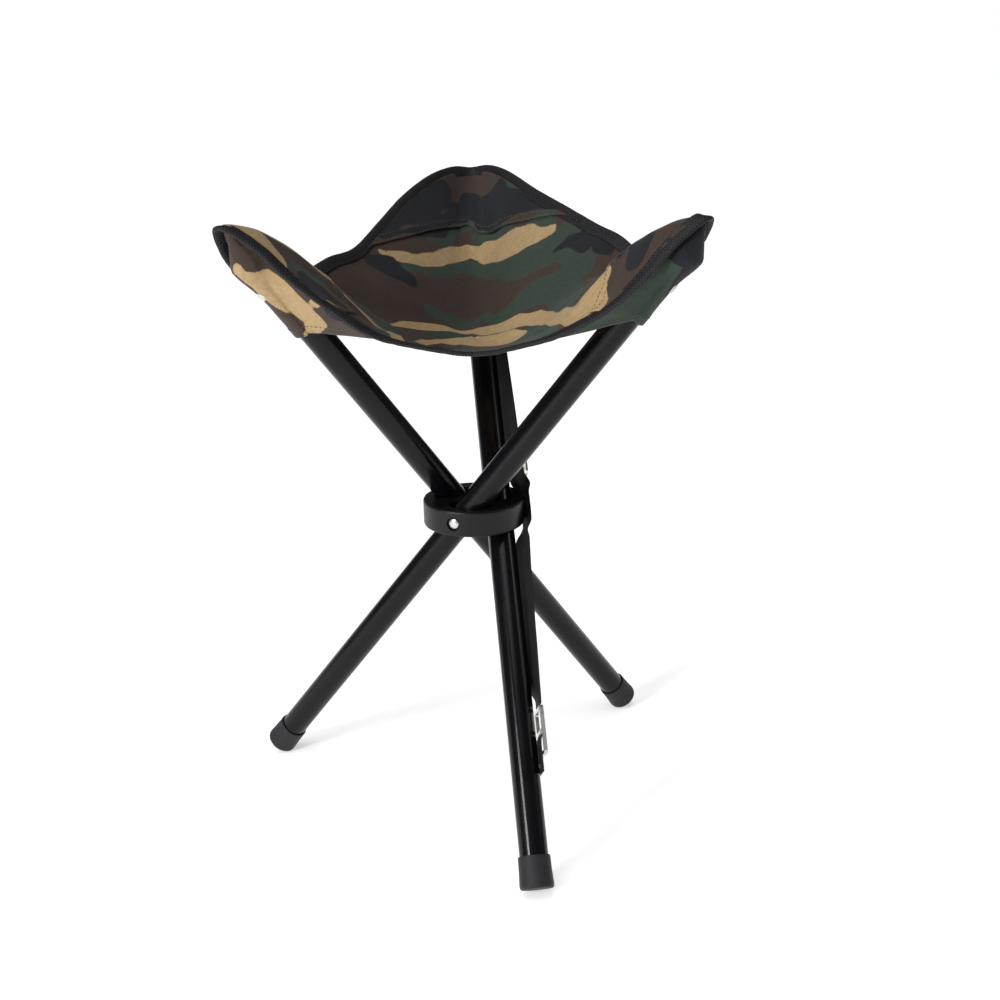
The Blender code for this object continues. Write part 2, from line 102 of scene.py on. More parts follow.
soft_lamp("left_lamp", (-1.5, -1.5, 0.95), (0, 0, 0.35), 0.35, 0.9, 34)
soft_lamp("right_lamp", (2.0, -0.2, 1.3), (0, 0, 0.3), 0.3, 1.2, 4)
bpy.ops.object.light_add(type="SUN", location=(0, 0, 3), rotation=(math.radians(14), math.radians(-10), 0))
bpy.context.object.data.energy = 1.5
bpy.context.object.data.angle = math.radians(50)

world = bpy.data.worlds.new("white_surround")
world.use_nodes = True
scene.world = world
sky = world.node_tree.nodes["Background"]
sky.inputs["Color"].default_value = (1, 1, 1, 1)
sky.inputs["Strength"].default_value = 0.12
white = world.node_tree.nodes.new("ShaderNodeBackground")
white.inputs["Color"].default_value = (1, 1, 1, 1)
seen = world.node_tree.nodes.new("ShaderNodeLightPath")
either = world.node_tree.nodes.new("ShaderNodeMixShader")
world.node_tree.links.new(seen.outputs["Is Camera Ray"], either.inputs[0])
world.node_tree.links.new(sky.outputs[0], either.inputs[1])
world.node_tree.links.new(white.outputs[0], either.inputs[2])
world.node_tree.links.new(either.outputs[0], world.node_tree.nodes["World Output"].inputs[0])


# ---- The hub and its pins ----
# The hub is one moulded disc of black nylon, with a slot for each tube. Three plated steel pins
# are pressed in from its rim, one through each tube, and their domed heads sit in round recesses.


def new_material(name, colour, roughness, metallic=0.0):
    paint = bpy.data.materials.new(name)
    paint.use_nodes = True
    bsdf = paint.node_tree.nodes["Principled BSDF"]
    bsdf.inputs["Base Color"].default_value = (*colour, 1)
    bsdf.inputs["Roughness"].default_value = roughness
    bsdf.inputs["Metallic"].default_value = metallic
    return paint, paint.node_tree, bsdf


def add_node(tree, kind, inputs=None, **settings):
    made = tree.nodes.new(kind)
    for name, value in settings.items():
        setattr(made, name, value)
    for name, value in (inputs or {}).items():
        if isinstance(value, bpy.types.NodeSocket):
            tree.links.new(value, made.inputs[name])
        else:
            made.inputs[name].default_value = value
    return made


def maths(tree, operation, a, b=0.0, c=0.0):
    made = add_node(tree, "ShaderNodeMath", operation=operation)
    for socket, value in zip(made.inputs, (a, b, c)):
        if isinstance(value, bpy.types.NodeSocket):
            tree.links.new(value, socket)
        else:
            socket.default_value = value
    return made.outputs[0]


def blend_colours(tree, share, a, b, mode="MIX"):
    made = add_node(tree, "ShaderNodeMix", data_type="RGBA", blend_type=mode)
    for socket, value in ((made.inputs[0], share), (made.inputs[6], a), (made.inputs[7], b)):
        if isinstance(value, bpy.types.NodeSocket):
            tree.links.new(value, socket)
        else:
            socket.default_value = value if socket.type == "VALUE" else (*value, 1)
    return made.outputs[2]


def ramp(tree, value, low, high, out_low=0.0, out_high=1.0):
    made = add_node(tree, "ShaderNodeMapRange", {"Value": value, "From Min": low, "From Max": high,
                                                 "To Min": out_low, "To Max": out_high})
    return made.outputs[0]


def new_group(name, inputs, outputs):
    group = bpy.data.node_groups.new(name, "ShaderNodeTree")
    for label, kind, value in inputs:
        socket = group.interface.new_socket(label, in_out="INPUT", socket_type=kind)
        if value is not None:
            socket.default_value = value
    for label, kind in outputs:
        group.interface.new_socket(label, in_out="OUTPUT", socket_type=kind)
    return group, group.nodes.new("NodeGroupInput"), group.nodes.new("NodeGroupOutput")


# Moulded and painted surfaces share one effect: fine grain for the bump, and uneven dust and
# handling marks that change the colour and the gloss.
surface_group, given, result = new_group(
    "handled_surface",
    [("Vector", "NodeSocketVector", None), ("Grain Scale", "NodeSocketFloat", 900.0),
     ("Mark Scale", "NodeSocketFloat", 18.0)],
    [("Grain", "NodeSocketFloat"), ("Marks", "NodeSocketFloat"), ("Scuffs", "NodeSocketFloat")])
grain = add_node(surface_group, "ShaderNodeTexNoise", {
    "Vector": given.outputs[0], "Scale": given.outputs[1], "Detail": 3.0, "Roughness": 0.6})
marks = add_node(surface_group, "ShaderNodeTexNoise", {
    "Vector": given.outputs[0], "Scale": given.outputs[2], "Detail": 6.0, "Roughness": 0.65})
stretched = add_node(surface_group, "ShaderNodeVectorMath", operation="MULTIPLY")
surface_group.links.new(given.outputs[0], stretched.inputs[0])
stretched.inputs[1].default_value = (1.0, 1.0, 0.12)
scratches = add_node(surface_group, "ShaderNodeTexNoise", {
    "Vector": stretched.outputs[0], "Scale": 420.0, "Detail": 2.0, "Roughness": 0.7})
surface_group.links.new(grain.outputs[0], result.inputs[0])
surface_group.links.new(marks.outputs[0], result.inputs[1])
surface_group.links.new(ramp(surface_group, scratches.outputs[0], 0.66, 0.74), result.inputs[2])


def handled(name, colour, worn, roughness, grain_scale, bump, metallic=0.0, gloss_change=0.1,
            mark_scale=18.0, specular=None):
    """A solid colour with grain, uneven gloss and faint worn marks."""
    paint, tree, bsdf = new_material(name, colour, roughness, metallic)
    place = add_node(tree, "ShaderNodeTexCoord")
    effect = add_node(tree, "ShaderNodeGroup", node_tree=surface_group)
    tree.links.new(place.outputs["Object"], effect.inputs["Vector"])
    effect.inputs["Grain Scale"].default_value = grain_scale
    effect.inputs["Mark Scale"].default_value = mark_scale
    share = ramp(tree, effect.outputs["Marks"], 0.42, 0.72)
    tree.links.new(blend_colours(tree, share, colour, worn), bsdf.inputs["Base Color"])
    rough = ramp(tree, effect.outputs["Marks"], 0.3, 0.7,
                 roughness - gloss_change / 2, roughness + gloss_change)
    rough = maths(tree, "ADD", rough, maths(tree, "MULTIPLY", effect.outputs["Scuffs"], 0.12))
    tree.links.new(rough, bsdf.inputs["Roughness"])
    raised = add_node(tree, "ShaderNodeBump", {"Strength": bump, "Distance": 0.0003,
                                               "Height": effect.outputs["Grain"]})
    tree.links.new(raised.outputs[0], bsdf.inputs["Normal"])
    if specular is not None:
        bsdf.inputs["Specular IOR Level"].default_value = specular
    return paint


def refinish(name, paint):
    """Gives a CAD node its finish in place of the plain one."""
    piece = nodes[name]
    piece.data.materials.clear()
    piece.data.materials.append(paint)


nylon = handled("black_nylon", (0.0048, 0.0048, 0.0055), (0.0085, 0.0085, 0.009), 0.34, 1500.0, 0.35,
                specular=0.24)
plated = handled("plated_steel", (0.63, 0.63, 0.61), (0.45, 0.44, 0.42), 0.24, 700.0, 0.1,
                 metallic=1.0, gloss_change=0.14)
refinish("hub", nylon)
for corner in ("rear", "left", "right"):
    refinish(f"pivot_pin_{corner}", plated)


# ---- The legs ----
# Three steel tubes, powder coated gloss black before assembly, each turning on its own pin. A
# nylon plug closes each upper end and a rubber cup, a little wider at its base, is pushed on the lower.

gloss_black = handled("gloss_black_coat", (0.0022, 0.0022, 0.003), (0.004, 0.004, 0.0052), 0.16, 1100.0,
                      0.14, gloss_change=0.06, specular=0.2)
rubber = handled("black_rubber", (0.0105, 0.011, 0.0125), (0.019, 0.019, 0.021), 0.55, 1300.0, 0.5,
                 gloss_change=0.12, mark_scale=60.0, specular=0.3)
for corner in ("rear", "left", "right"):
    refinish(f"leg_tube_{corner}", gloss_black)
    refinish(f"top_plug_{corner}", nylon)
    refinish(f"foot_cap_{corner}", rubber)
    refinish(f"pocket_rivet_{corner}", plated)
for end in ("upper", "lower"):
    refinish(f"strap_rivet_{end}", plated)


# ---- The sling seat ----
# One triangle of printed canvas, sewn in three kite shaped panels that meet along the middles of the
# edges, one at each corner. Its edge is bound with ribbed black tape.

LEG_TILT = math.radians(38.4)
PIN_AZIMUTH = {"rear": 6.4, "left": 126.4, "right": 246.4}
AXIS_OFFSET = 0.0205
# Each corner's place round the edge, which is counted 0 to 3 from tip to tip, and its azimuth
CORNERS = {"left": (0, 210), "right": (1, 330), "rear": (2, 90)}
NEXT_SIDE = {"left": ("left", "front"), "right": ("front", "right"), "rear": ("right", "left")}
FLAT_CORNER = 0.215  # from the middle of the flat cut to a tip
FLAT_SIDE = FLAT_CORNER * math.sqrt(3)
CANVAS = 0.0012
TAPE_WIDTH = 0.0105
SEAM_INSET = 0.75  # how far in the patches and pockets are caught, as a share of the tape's width
KITE_STEPS = 66
RING_STEPS = 64

# Millimetres from the hub's centre, tip to tip, then two inner rings and the lowest point
FRONT_EDGE = [
    (-175, -99, 241), (-150, -106, 229), (-124, -108, 205), (-97, -107, 184), (-70, -100, 164),
    (-38, -92, 154), (2, -88, 147), (36, -90, 152), (66, -97, 161), (97, -106, 178), (122, -109, 199),
    (148, -106, 226),
]
RIGHT_EDGE = [
    (171, -99, 242), (171, -77, 225), (158, -56, 199), (149, -38, 188), (138, -17, 200), (121, 6, 217),
    (103, 31, 225), (81, 61, 236), (58, 98, 247), (36, 140, 259), (20, 174, 262),
]
LEFT_EDGE = [
    (4, 190, 259), (-13, 176, 261), (-33, 146, 256), (-55, 116, 242), (-74, 82, 224), (-92, 45, 208),
    (-110, 12, 205), (-129, -14, 195), (-144, -38, 184), (-158, -59, 193), (-173, -78, 216),
]
OUTER_RING = [
    (-119, -62, 214), (-70, -70, 166), (2, -52, 141), (70, -70, 165), (113, -72, 214), (98, -14, 186),
    (62, 32, 190), (33, 92, 204), (5, 134, 209), (-32, 96, 203), (-68, 22, 172), (-102, -26, 176),
]
INNER_RING = [
    (-62, -36, 161), (-35, -38, 144), (2, -28, 139), (36, -38, 144), (60, -38, 161), (50, -10, 157),
    (34, 16, 156), (20, 44, 162), (4, 70, 165), (-18, 42, 158), (-34, 14, 151), (-52, -12, 151),
]
MIDDLE = (1, 2, 143)
EDGE_POINTS = FRONT_EDGE + RIGHT_EDGE + LEFT_EDGE
EDGE_STARTS = [0, len(FRONT_EDGE), len(FRONT_EDGE) + len(RIGHT_EDGE), len(EDGE_POINTS)]


def spline(points, at, closed=True):
    """A point on the smooth curve through the points, where at counts points."""
    n = len(points)
    i = math.floor(at)
    f = at - i
    pick = [points[k % n] if closed else points[min(max(k, 0), n - 1)] for k in range(i - 1, i + 3)]
    a, b, c, d = (Vector(p) for p in pick)
    return b + 0.5 * f * (c - a + f * (2 * a - 5 * b + 4 * c - d + f * (3 * b - a - 3 * c + d)))


def edge_point(place):
    """A point on the sling's edge: 0 is the left tip, 1 the right, 2 the rear and 3 the left again."""
    place = place % 3
    side = int(place)
    first, last = EDGE_STARTS[side], EDGE_STARTS[side + 1]
    return spline(EDGE_POINTS, first + (place - side) * (last - first))


def ray_points(place):
    """The four points that one ray of the sling goes through, from its middle to its edge."""
    return Vector(MIDDLE), spline(INNER_RING, place * 4), spline(OUTER_RING, place * 4), edge_point(place)


def along_ray(points, t):
    """The point in metres at t, 0 to 1, on the cubic through a ray's four points."""
    x = 3 * t
    weights = (-(x - 1) * (x - 2) * (x - 3) / 6, x * (x - 2) * (x - 3) / 2,
               -x * (x - 1) * (x - 3) / 2, x * (x - 1) * (x - 2) / 6)
    return sum((w * p for w, p in zip(weights, points)), Vector()) * 0.001


def flat_point(place, t):
    """Where a point of the sling is on the flat cut."""
    side = int(place % 3)
    ends = [Vector((math.cos(math.radians(a)), math.sin(math.radians(a)))) * FLAT_CORNER
            for a in (210 + 120 * side, 330 + 120 * side)]
    return ends[0].lerp(ends[1], place % 3 - side) * t


# Folds in the cloth: start and end in millimetres, half width and height
FOLDS = [
    ((4, 108), (5, 178), 3.5, 1.5), ((-7, 112), (-8, 165), 3.0, -1.2), ((15, 105), (13, 160), 3.0, 1.1),
    ((-20, 118), (-24, 150), 4.0, 0.9), ((26, 96), (24, 140), 4.0, -0.8),
    ((-128, -72), (-58, -62), 5.0, 2.2), ((-120, -60), (-66, -38), 6.0, -1.6),
    ((-110, -84), (-60, -80), 5.0, 1.4), ((-62, -64), (-22, -72), 6.0, 1.3),
    ((-118, -40), (-84, -16), 4.5, 1.3), ((-108, -22), (-82, 6), 4.0, -1.0),
    ((124, -76), (62, -66), 5.0, 1.8), ((112, -58), (60, -30), 6.0, -1.4),
    ((108, -88), (70, -84), 5.0, -1.2), ((118, -34), (92, 2), 4.5, 1.2), ((104, -16), (84, 20), 4.0, -1.0),
    ((60, 50), (30, 76), 6.0, 1.0), ((-66, 44), (-34, 66), 6.0, 1.0), ((-50, 30), (-10, 22), 8.0, 0.9),
    ((52, 10), (14, -10), 8.0, -0.9), ((-30, -50), (30, -56), 9.0, 0.8), ((0, 20), (4, 70), 7.0, -0.8),
]
# Heights and sizes, in millimetres, of the shallow rumples all over the cloth and the puckers at the tape
BROAD_RUMPLE, BROAD_SIZE = 1.5, 34
SMALL_RUMPLE, SMALL_SIZE = 0.55, 13
PUCKER, PUCKER_REACH = 0.7, 9
FOLD_BEND = 2.0


def cloth_relief(x, y, edge_distance, place):
    """How far the cloth stands off its smooth shape, in millimetres."""
    raised = 0.0
    for (ax, ay), (bx, by), width, height in FOLDS:
        dx, dy = bx - ax, by - ay
        long = math.hypot(dx, dy)
        s = ((x - ax) * dx + (y - ay) * dy) / long / long
        if -0.3 < s < 1.3:
            bend = FOLD_BEND * math.sin(3.1 * s + ax)
            off = ((x - ax) * dy - (y - ay) * dx) / long + bend
            fade = max(0.0, 1 - abs(2 * s - 1) ** 3 / 1.6) ** 2
            raised += height * fade * math.exp(-(off / width) ** 2)
    raised += BROAD_RUMPLE * noise.noise((x / BROAD_SIZE, y / BROAD_SIZE, 1.3))
    raised += SMALL_RUMPLE * noise.noise((x / SMALL_SIZE, y / SMALL_SIZE, 4.2))
    near_tape = math.exp(-edge_distance / PUCKER_REACH)
    raised += PUCKER * near_tape * noise.noise((place * 38, 2.0, edge_distance / 22))
    calm = min(1.0, edge_distance / 6)
    return raised * (0.15 + 0.85 * calm)


def sling_grid(first, last, across, heights, lift=0.0):
    """Points and normals of the sling between two places. heights(points, place) gives each ray's t values.
    The grid is made one column wider at each side, so that panels that share a border bend alike there."""
    step = (last - first) / across
    places = [first + step * k for k in range(-1, across + 2)]
    base, relief, steps = [], [], []
    for place in places:
        points = ray_points(place)
        ts = heights(points, place)
        row = [along_ray(points, t) for t in ts]
        end = along_ray(points, 1.0)
        distance = [1000 * (end - p).length for p in row]
        base.append([list(p) for p in row])
        relief.append([cloth_relief(1000 * p.x, 1000 * p.y, d, place) for p, d in zip(row, distance)])
        steps.append(ts)
    base, relief = np.array(base), np.array(relief) * 0.001

    def normals(grid):
        along = np.gradient(grid, axis=1)
        round_it = np.gradient(grid, axis=0)
        n = np.cross(along, round_it)
        size = np.linalg.norm(n, axis=2, keepdims=True)
        n = np.where(size > 1e-12, n / np.maximum(size, 1e-12), (0.0, 0.0, 1.0))
        return n

    smooth = normals(base)
    moved = base + smooth * (relief + lift)[..., None]
    final = normals(moved)
    return moved[1:-1], final[1:-1], places[1:-1], steps[1:-1]


def camo_fields(x, y, blobs):
    """For each colour, how far inside its nearest printed shape a point is, in millimetres."""
    found = []
    for chains in blobs:
        best = -40.0
        for chain in chains:
            for (ax, ay, ar), (bx, by, br) in zip(chain, chain[1:]):
                dx, dy = bx - ax, by - ay
                s = min(1.0, max(0.0, ((x - ax) * dx + (y - ay) * dy) / (dx * dx + dy * dy)))
                best = max(best, ar + (br - ar) * s - math.hypot(x - ax - s * dx, y - ay - s * dy))
        found.append(best)
    return found


# The print on the sling, as chains of (x, y, half width) in millimetres, for tan, green and black.
# Whatever they leave is brown.
TAN = [
    [(-74, 58, 2), (-58, 64, 4), (-40, 74, 5), (-25, 88, 6), (-12, 104, 6), (0, 115, 6), (12, 111, 6),
     (22, 99, 8), (33, 89, 10), (46, 76, 9), (58, 65, 5), (70, 58, 3)],
    [(-66, -14, 2), (-50, 1, 4), (-35, 9, 5), (-18, 14, 5), (0, 12, 6), (18, 8, 9), (36, 4, 9),
     (50, -8, 7), (59, -24, 5), (64, -42, 5), (69, -60, 6), (77, -78, 8), (90, -82, 9), (94, -94, 4)],
    [(-41, -42, 3), (-35, -26, 4), (-24, -12, 5), (-8, -8, 7), (8, -12, 12), (24, -14, 12), (36, -24, 7)],
    [(84, -70, 4), (98, -76, 4)], [(-34, -97, 3), (-10, -92, 6), (14, -93, 6), (40, -97, 5), (66, -104, 3)],
    [(-168, -96, 7), (-150, -92, 9), (-134, -98, 6)], [(-146, -72, 7), (-128, -66, 7)],
    [(-104, -6, 3), (-88, -8, 5), (-72, -12, 4)],
    [(-112, -66, 5), (-92, -62, 3), (-72, -66, 2), (-54, -74, 2)], [(-56, -62, 4), (-52, -80, 5)],
    [(34, 160, 2), (26, 172, 3)], [(-96, -98, 3), (-70, -92, 3)],
]
GREEN = [
    [(-50, 60, 4), (-24, 80, 6), (-8, 98, 7), (10, 96, 8), (26, 80, 9), (44, 60, 10), (60, 48, 11),
     (78, 40, 12), (92, 18, 12)],
    [(20, 24, 7), (46, 22, 10), (72, 8, 14), (78, -20, 15), (82, -48, 12)],
    [(44, -30, 14), (50, -58, 15), (54, -84, 13)], [(-34, -2, 4), (-16, 3, 4), (2, 0, 3)],
    [(-62, -28, 5), (-60, -52, 6), (-64, -80, 6)],
    [(-33, 99, 3), (-20, 112, 4), (-8, 130, 4), (2, 140, 4), (9, 136, 4)],
    [(35, 134, 4), (42, 117, 5), (52, 102, 4)],
    [(10, 124, 6), (22, 112, 5), (36, 98, 4), (52, 84, 5), (64, 68, 9)], [(-92, -22, 5), (-78, -30, 5)],
    [(-30, 30, 6), (-8, 28, 7), (14, 32, 6)], [(104, -52, 7), (112, -36, 6)],
    [(152, -88, 8), (162, -96, 6)], [(-120, -88, 6), (-104, -76, 5)], [(-10, -60, 12), (16, -66, 12)],
]
BLACK = [
    [(-69, 78, 4), (-55, 100, 8), (-39, 121, 11), (-27, 137, 9), (-18, 153, 4)],
    [(-33, 121, 7), (-18, 140, 4)],
    [(-73, 70, 2), (-56, 85, 3), (-41, 99, 4), (-24, 117, 4), (-10, 138, 6), (2, 153, 10), (19, 138, 11),
     (36, 115, 8), (53, 95, 6), (64, 82, 4)],
    [(-80, 44, 7), (-62, 51, 8), (-48, 52, 4)], [(66, 42, 4), (80, 38, 6), (94, 26, 7)],
    [(84, 64, 5), (92, 48, 6)], [(104, 16, 6), (112, 6, 4)], [(124, -6, 5), (132, -16, 4)],
    [(-122, -12, 7), (-110, -20, 8), (-102, -28, 6)], [(-104, -46, 8), (-86, -50, 5)],
    [(-112, -92, 8), (-90, -84, 7)], [(138, -44, 8), (134, -66, 8), (120, -88, 8)],
    [(-130, -58, 5), (-120, -49, 7), (-108, -40, 8)], [(-24, -28, 4), (-8, -34, 5)],
    [(-32, -80, 5), (-12, -78, 5)], [(100, -62, 4), (110, -72, 4)],
]


def object_from(bm, name):
    mesh = bpy.data.meshes.new(name)
    bm.to_mesh(mesh)
    bm.free()
    obj = bpy.data.objects.new(name, mesh)
    scene.collection.objects.link(obj)
    return obj


def cloth_mesh(name, grid, up, thickness, uvs, prints, centre=None):
    """A thin closed sheet: both faces of the cloth and its cut edge. grid and up are its rows of points
    and normals. With a centre, its first rows close on one point."""
    bm = bmesh.new()
    uv_layer = bm.loops.layers.uv.new("cut")
    layers = [bm.verts.layers.float.new(label) for label in ("tan", "green", "black")]
    coords = {}

    def add_point(p, n, side, uv, fields):
        vert = bm.verts.new(Vector(p) + Vector(n) * (side * thickness / 2))
        coords[vert] = uv
        for layer, value in zip(layers, fields):
            vert[layer] = value
        return vert

    top, under = [[[add_point(p, n, side, uv, fields) for p, n, uv, fields in zip(*row)]
                   for row in zip(grid, up, uvs, prints)] for side in (1, -1)]
    middle = centre and [add_point(centre[0], centre[1], side, (0.0, 0.0), centre[2]) for side in (1, -1)]
    count = len(top)
    last = len(top[0]) - 1
    for k in range(count - 1):
        for j in range(last):
            bm.faces.new((top[k][j], top[k][j + 1], top[k + 1][j + 1], top[k + 1][j]))
            bm.faces.new((under[k][j], under[k + 1][j], under[k + 1][j + 1], under[k][j + 1]))
        bm.faces.new((top[k][last], under[k][last], under[k + 1][last], top[k + 1][last]))
        if middle:
            bm.faces.new((middle[0], top[k][0], top[k + 1][0]))
            bm.faces.new((middle[1], under[k + 1][0], under[k][0]))
        else:
            bm.faces.new((top[k + 1][0], under[k + 1][0], under[k][0], top[k][0]))
    for j in range(last):
        bm.faces.new((top[0][j + 1], top[0][j], under[0][j], under[0][j + 1]))
        bm.faces.new((top[-1][j], top[-1][j + 1], under[-1][j + 1], under[-1][j]))
    if middle:
        bm.faces.new((top[0][0], middle[0], middle[1], under[0][0]))
        bm.faces.new((middle[0], top[-1][0], under[-1][0], middle[1]))
    for face in bm.faces:
        face.smooth = True
        for loop in face.loops:
            loop[uv_layer].uv = coords[loop.vert]
    return object_from(bm, name)


def shade_like_one_cloth(obj, up):
    """The faces' normals come from the whole cloth, so no line shows where two panels share a border."""
    wanted = np.array(up).reshape(-1, 3)
    count = len(wanted)
    mesh = obj.data
    loops = []
    for face in mesh.polygons:
        sides = {index < count for index in face.vertices if index < 2 * count}
        for index in face.vertices:
            if len(sides) == 1 and index < 2 * count:
                n = wanted[index % count] * (1 if index < count else -1)
            elif index >= 2 * count and len(sides) == 1:
                n = np.array((0.0, 0.0, 1.0 if index == 2 * count else -1.0))
            else:
                n = np.array(face.normal)
            loops.append(n)
    mesh.normals_split_custom_set(loops)


CENTRE_PRINT = camo_fields(MIDDLE[0], MIDDLE[1], (TAN, GREEN, BLACK))
corner_way = {corner: Vector((math.cos(math.radians(azimuth)), math.sin(math.radians(azimuth)), 0))
              for corner, (_, azimuth) in CORNERS.items()}


def under_tape(points, share):
    """The t of the place on a ray that is a share of the tape's width in from the edge."""
    run = (along_ray(points, 1.0) - along_ray(points, 0.9)).length / 0.1
    return 1 - TAPE_WIDTH * share / run


def kite_heights(points, place):
    """The t values of a panel's rings, from its middle to just under the tape."""
    edge = under_tape(points, 0.45)
    return [edge * (j / RING_STEPS) for j in range(1, RING_STEPS + 1)]


def print_of(grid):
    """The print on the sling, which runs on through the patches."""
    return [[camo_fields(1000 * p[0], 1000 * p[1], (TAN, GREEN, BLACK)) for p in row] for row in grid]


def in_place(grid):
    return grid + np.array(HUB)


kites = {}
for corner, (place, _) in CORNERS.items():
    grid, up, places, steps = sling_grid(place - 0.5, place + 0.5, KITE_STEPS, kite_heights)
    uvs = [[tuple(flat_point(p, t)) for t in ts] for p, ts in zip(places, steps)]
    centre_base = Vector(MIDDLE) * 0.001
    centre = (HUB + centre_base, Vector((0, 0, 1)), CENTRE_PRINT)
    kite = cloth_mesh(f"seat_panel_{corner}", in_place(grid), up, CANVAS, uvs, print_of(grid), centre)
    shade_like_one_cloth(kite, up)
    kites[corner] = kite


# The canvas itself: a plain weave under the printed colours, which are a little faded and uneven, with
# painted shade between its threads and a painted highlight on them.
weave_group, given, result = new_group(
    "woven", [("Vector", "NodeSocketVector", None), ("Threads", "NodeSocketFloat", 900.0),
              ("Cross Threads", "NodeSocketFloat", 900.0)],
    [("Height", "NodeSocketFloat"), ("Slubs", "NodeSocketFloat")])
sides = add_node(weave_group, "ShaderNodeSeparateXYZ", {"Vector": given.outputs[0]})
warp = maths(weave_group, "SINE", maths(weave_group, "MULTIPLY", sides.outputs[0], given.outputs[1]))
weft = maths(weave_group, "SINE", maths(weave_group, "MULTIPLY", sides.outputs[1], given.outputs[2]))
crossing = maths(weave_group, "MULTIPLY", warp, weft)
height = maths(weave_group, "ADD", maths(weave_group, "ABSOLUTE", warp), maths(weave_group, "ABSOLUTE", weft))
height = maths(weave_group, "ADD", maths(weave_group, "MULTIPLY", height, 0.3),
               maths(weave_group, "MULTIPLY", crossing, 0.4))
slubs = add_node(weave_group, "ShaderNodeTexNoise", {
    "Vector": given.outputs[0], "Scale": 260.0, "Detail": 4.0, "Roughness": 0.7})
weave_group.links.new(height, result.inputs[0])
weave_group.links.new(slubs.outputs[0], result.inputs[1])

CAMO_TAN = (0.42, 0.290, 0.145)
CAMO_GREEN = (0.034, 0.052, 0.038)
CAMO_BROWN = (0.050, 0.032, 0.024)
CAMO_BLACK = (0.0105, 0.0115, 0.0155)


def printed_canvas(name):
    """Woven canvas whose colours start where the shapes' distances, roughened a little, cross zero."""
    paint, tree, bsdf = new_material(name, CAMO_BROWN, 0.85)
    bsdf.inputs["Specular IOR Level"].default_value = 0.25
    bsdf.inputs["Sheen Weight"].default_value = 0.12
    bsdf.inputs["Sheen Roughness"].default_value = 0.45
    place = add_node(tree, "ShaderNodeUVMap", uv_map="cut")
    wave = add_node(tree, "ShaderNodeTexNoise", {"Vector": place.outputs[0], "Scale": 26.0, "Detail": 0.5})
    fine = add_node(tree, "ShaderNodeTexNoise", {"Vector": place.outputs[0], "Scale": 700.0, "Detail": 1.0})
    ragged = maths(tree, "ADD", ramp(tree, wave.outputs[0], 0.3, 0.7, -2.0, 2.0),
                   ramp(tree, fine.outputs[0], 0.3, 0.7, -0.25, 0.25))
    other = add_node(tree, "ShaderNodeTexNoise", {"Vector": place.outputs[0], "Scale": 31.0, "Detail": 0.5})
    ragged_other = maths(tree, "ADD", ramp(tree, other.outputs[0], 0.3, 0.7, 3.0, -3.0),
                         ramp(tree, fine.outputs[0], 0.3, 0.7, -0.25, 0.25))
    colour = CAMO_BROWN
    for label, shade, rough_edge in (("green", CAMO_GREEN, ragged_other), ("tan", CAMO_TAN, ragged),
                                     ("black", CAMO_BLACK, ragged_other)):
        field = add_node(tree, "ShaderNodeAttribute", attribute_name=label)
        share = ramp(tree, maths(tree, "ADD", field.outputs["Fac"], rough_edge), -0.35, 0.35)
        colour = blend_colours(tree, share, colour, shade)
    woven = add_node(tree, "ShaderNodeGroup", node_tree=weave_group)
    tree.links.new(place.outputs[0], woven.inputs["Vector"])
    woven.inputs["Threads"].default_value = 4700.0
    woven.inputs["Cross Threads"].default_value = 3900.0
    faded = ramp(tree, woven.outputs["Slubs"], 0.25, 0.75, 0.78, 1.18)
    # Painted shade where the weave is low and a painted highlight where its threads are raised.
    thread = ramp(tree, woven.outputs["Height"], 0.0, 0.9, 0.72, 1.12)
    shade = maths(tree, "MULTIPLY", faded, thread)
    grey = add_node(tree, "ShaderNodeCombineColor", {"Red": shade, "Green": shade, "Blue": shade})
    colour = blend_colours(tree, 1.0, colour, grey.outputs[0], "MULTIPLY")
    tree.links.new(colour, bsdf.inputs["Base Color"])
    tree.links.new(ramp(tree, woven.outputs["Slubs"], 0.2, 0.8, 0.78, 0.92), bsdf.inputs["Roughness"])
    raised = add_node(tree, "ShaderNodeBump", {"Strength": 0.5, "Distance": 0.0004,
                                               "Height": woven.outputs["Height"]})
    tree.links.new(raised.outputs[0], bsdf.inputs["Normal"])
    return paint


canvas = printed_canvas("printed_canvas")
for kite in kites.values():
    kite.data.materials.append(canvas)


def bend_with_leg(obj):
    """Bakes the piece's placement into its mesh."""
    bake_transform(obj)


# ---- The binding tape ----
# Black ribbed tape, folded over the cut edge and sewn through all the layers with one line of black
# thread. Each edge has two lengths that meet at its middle, one for each corner.

TAPE_SECTION = [  # inwards from the edge, and off the cloth, in millimetres
    (10.5, 1.2), (9.8, 1.55), (8.4, 1.4), (6.2, 1.75), (3.4, 1.85), (1.4, 1.5), (0.3, 0.8), (0.0, 0.0),
    (0.3, -0.8), (1.4, -1.5), (3.4, -1.85), (6.2, -1.75), (8.4, -1.4), (9.8, -1.55), (10.5, -1.2),
    (10.5, -0.72), (3.4, -0.72), (3.0, 0.0), (3.4, 0.72), (10.5, 0.72),
]
TAPE_STEPS = 150
TAPE_END = 0.0004
TAPE_SEAM_IN, TAPE_SEAM_OFF = 0.0084, 1.42  # its stitches, inwards in metres and off in millimetres
TAPE_RISE, TAPE_SWELL, TAPE_WAVER = 0.35, 0.10, 0.3  # how unevenly it is sewn on


